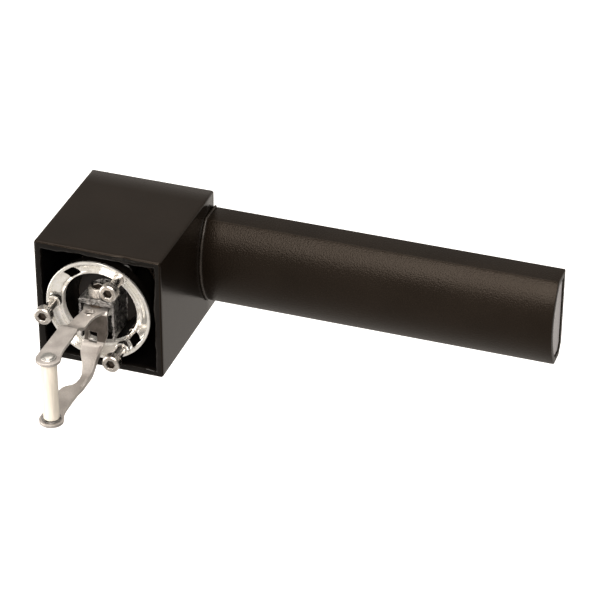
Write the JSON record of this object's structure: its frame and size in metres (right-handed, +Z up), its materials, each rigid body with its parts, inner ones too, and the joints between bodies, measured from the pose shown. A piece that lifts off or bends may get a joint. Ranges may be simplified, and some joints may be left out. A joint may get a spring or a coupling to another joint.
{
  "type": "knife blade switch operating handle",
  "caption": "Square-headed side-grip rotary handle with a flange ring for a panel and a sheet-steel yoke whose roller drives a knife blade switch.",
  "frame": {"origin": "on the handle's turning axis, in the panel face of the fixed flange ring", "axes": "+X along the grip from the head, +Z up, -Y through the panel towards the yoke and its roller"},
  "size_m": [0.1503, 0.0857, 0.04],
  "materials": {
    "chrome": "polished chrome plating",
    "coat_head": "dark brown-black satin powder coat",
    "coat_grip": "dark brown-black satin powder coat with a fine grain",
    "steel": "bright nickel-plated steel",
    "zinc_steel": "zinc-plated steel, satin",
    "yoke_sheet": "matt pressed sheet steel",
    "roller": "ground satin steel",
    "cast": "dark rough casting",
    "bronze": "turned bearing bronze",
    "alloy": "machined alloy",
    "cap_plastic": "matt light grey with a lilac cast"
  },
  "bodies": {
    "flange": {"flange_ring": "chrome", "bearing_bush": "bronze", "panel_screws": "steel", "locating_dowel": "steel", "stop_pin": "zinc_steel"},
    "lever": {"head_shell": "coat_head", "mounting_boss": "zinc_steel", "drive_hub": "cast", "friction_washer": "zinc_steel", "thrust_washer": "zinc_steel", "stop_plate": "zinc_steel", "hub_bolt": "zinc_steel", "hub_bolt_washer": "zinc_steel", "pivot_screw": "steel", "pivot_nut": "steel", "pivot_spacer": "zinc_steel", "grip_joint_plate": "coat_head", "grip_tube": "coat_grip", "grip_base_plug": "alloy", "grip_bolts": "zinc_steel", "grip_bolt_washers": "zinc_steel", "grip_end_cap": "cap_plastic"},
    "yoke": {"yoke": "yoke_sheet", "cross_pin": "yoke_sheet", "pin_washers": "zinc_steel"},
    "roller": {"roller_sleeve": "roller"}
  },
  "joints": [
    {"name": "handle_turn", "type": "hinge", "parent": "flange", "child": "lever", "pos_m": [0, 0, 0], "axis": [0, 1, 0], "range_deg": [0, 60]},
    {"name": "yoke_swing", "type": "hinge", "parent": "lever", "child": "yoke", "pos_m": [0, 0.0008, 0], "axis": [0, 0, 1], "range_deg": [-8, 8]},
    {"name": "roller_spin", "type": "hinge", "parent": "yoke", "child": "roller", "pos_m": [0, -0.036, -0.00505], "axis": [0, 0, 1], "continuous": true}
  ]
}
